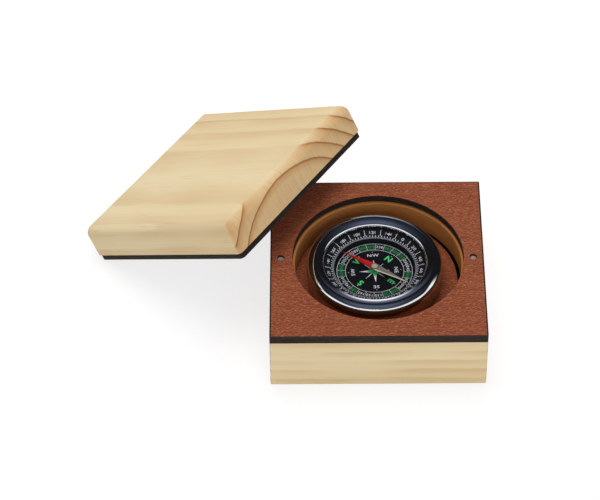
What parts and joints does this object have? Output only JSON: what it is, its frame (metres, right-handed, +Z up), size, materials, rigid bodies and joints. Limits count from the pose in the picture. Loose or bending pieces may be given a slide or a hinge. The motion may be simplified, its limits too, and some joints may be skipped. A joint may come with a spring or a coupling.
{
  "type": "qibla compass",
  "caption": "Pocket compass with a printed degree ring, lying loose in the round pocket of a square pine box whose leather-faced lid is held by magnets.",
  "frame": {"origin": "middle of the base's flat underside, on the table", "axes": "+Z up, +X to the right and +Y away from the base's front face, along the sides of the base"},
  "size_m": [0.1699, 0.1508, 0.0584],
  "materials": {
    "pine": "sanded pine, matt",
    "fibreboard": "dark cut edge, matt",
    "leatherette": "brown, fine wrinkled grain",
    "magnet": "nickel plated",
    "chrome": "polished",
    "steel": "plain",
    "window": "clear",
    "black_plastic": "matt black",
    "dial_card": "printed in green and white on black",
    "needle_paint": "red at one end, grey at the other",
    "brass": "turned",
    "jewel": "polished cup"
  },
  "bodies": {
    "base": {"base_block": "pine", "base_panel": "fibreboard", "base_leather": "leatherette", "base_magnet_left": "magnet", "base_magnet_right": "magnet", "floor_disc": "fibreboard", "floor_leather": "leatherette"},
    "lid_pivot_magnet": {"lid_magnet_front": "magnet"},
    "lid": {"lid_block": "pine", "lid_panel": "fibreboard", "lid_leather": "leatherette", "lid_magnet_back": "magnet"},
    "compass": {"compass_shell": "chrome", "back_plate": "steel", "dial_base": "black_plastic", "dial_plate": "dial_card", "degree_ring": "black_plastic", "crystal": "window", "pivot_pin": "steel"},
    "needle": {"needle": "needle_paint", "needle_cap": "brass", "cap_jewel": "jewel"}
  },
  "joints": [
    {"name": "lid_swing", "type": "hinge", "parent": "base", "child": "lid_pivot_magnet", "pos_m": [-0.05821, 0.02188, 0.02107], "axis": [-0.0924, 0.319, 0.9432], "range_deg": [0, 103.8]},
    {"name": "lid_turn", "type": "hinge", "parent": "lid_pivot_magnet", "child": "lid", "pos_m": [-0.08529, 0.0101, 0.0224], "axis": [-0.4178, 0.2829, 0.8634], "range_deg": [-156.43, 0]},
    {"name": "compass_turn", "type": "hinge", "parent": "base", "child": "compass", "pos_m": [-0.0009, 0.0005, 0.016], "axis": [0, 0, 1], "continuous": true},
    {"name": "needle_spin", "type": "hinge", "parent": "compass", "child": "needle", "pos_m": [-0.0009, 0.0005, 0.02415], "axis": [0, 0, 1], "continuous": true}
  ],
  "couplings": [
    {"joint": "lid_turn", "follows": "lid_swing", "ratio": -1.507}
  ]
}
